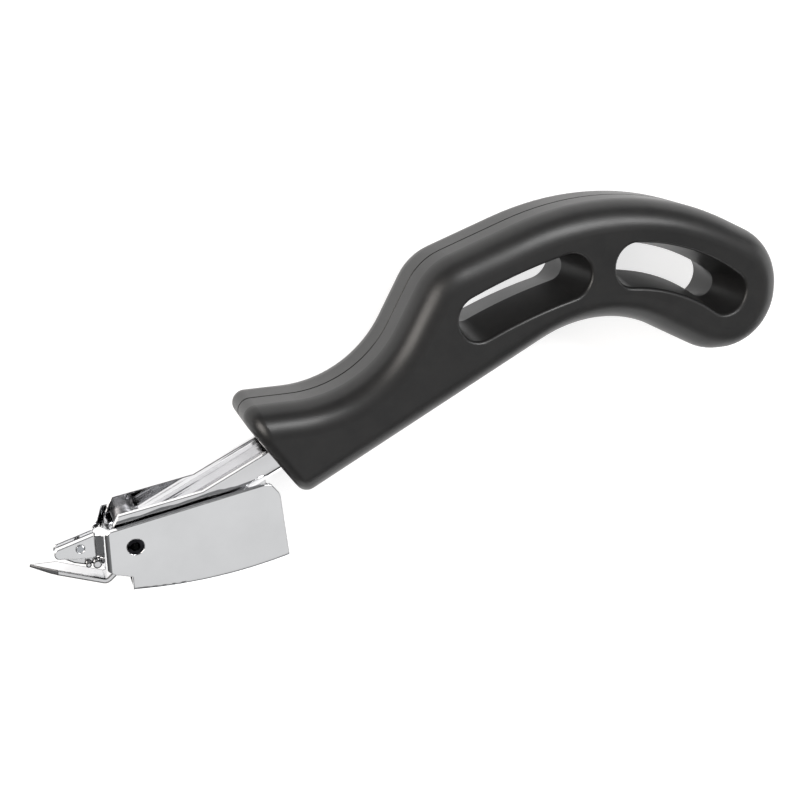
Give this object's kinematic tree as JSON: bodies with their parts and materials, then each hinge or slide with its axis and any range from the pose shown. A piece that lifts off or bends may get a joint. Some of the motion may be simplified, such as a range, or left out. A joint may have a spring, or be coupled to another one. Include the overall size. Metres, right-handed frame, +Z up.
{
  "type": "staple remover",
  "caption": "Pincer staple remover: sprung bright steel rocker head with pointed jaws, pivoting on a channel lever held in an S-curved black plastic handle with grip slots.",
  "frame": {"origin": "middle of the bounding box, at the level of the flat right side that the tool lies on", "axes": "+X from the jaws to the butt of the handle, +Y towards the tool's top (the side its grip arches to), +Z up, out of the tool's left side"},
  "size_m": [0.1972, 0.0858, 0.025],
  "materials": {
    "moulded_plastic": "fine spark-eroded mould texture, satin",
    "bright_plate": "bright nickel-chrome plated pressed steel",
    "bright_jaw": "hardened and plated, ground points",
    "steel_rivet": "plain steel, peened",
    "zinc_screw": "bright zinc plate",
    "bush_steel": "oil-filled sintered steel",
    "black_oxide": "black oxide",
    "spring_steel": "tempered blue-grey spring strip"
  },
  "bodies": {
    "lever": {"handle_left_shell": "moulded_plastic", "handle_right_shell": "moulded_plastic", "handle_screws": "zinc_screw", "lever_channel": "bright_plate", "lower_jaw": "bright_jaw", "lower_jaw_rivets": "steel_rivet", "pivot_bush": "bush_steel"},
    "rocker": {"rocker_frame": "bright_plate", "upper_jaw": "bright_jaw", "upper_jaw_rivet": "steel_rivet", "pivot_pin": "black_oxide", "pivot_washer_left": "zinc_screw", "pivot_washer_right": "zinc_screw", "return_spring": "spring_steel", "spring_rivet": "steel_rivet"}
  },
  "joints": [
    {"name": "jaw_hinge", "type": "hinge", "parent": "lever", "child": "rocker", "pos_m": [-0.075, -0.03038, 0.0125], "axis": [0, 0, 1], "range_deg": [0, 9], "stiffness_Nm_per_rad": 1.5, "springref_deg": -4.01, "deforming": ["return_spring"]}
  ]
}
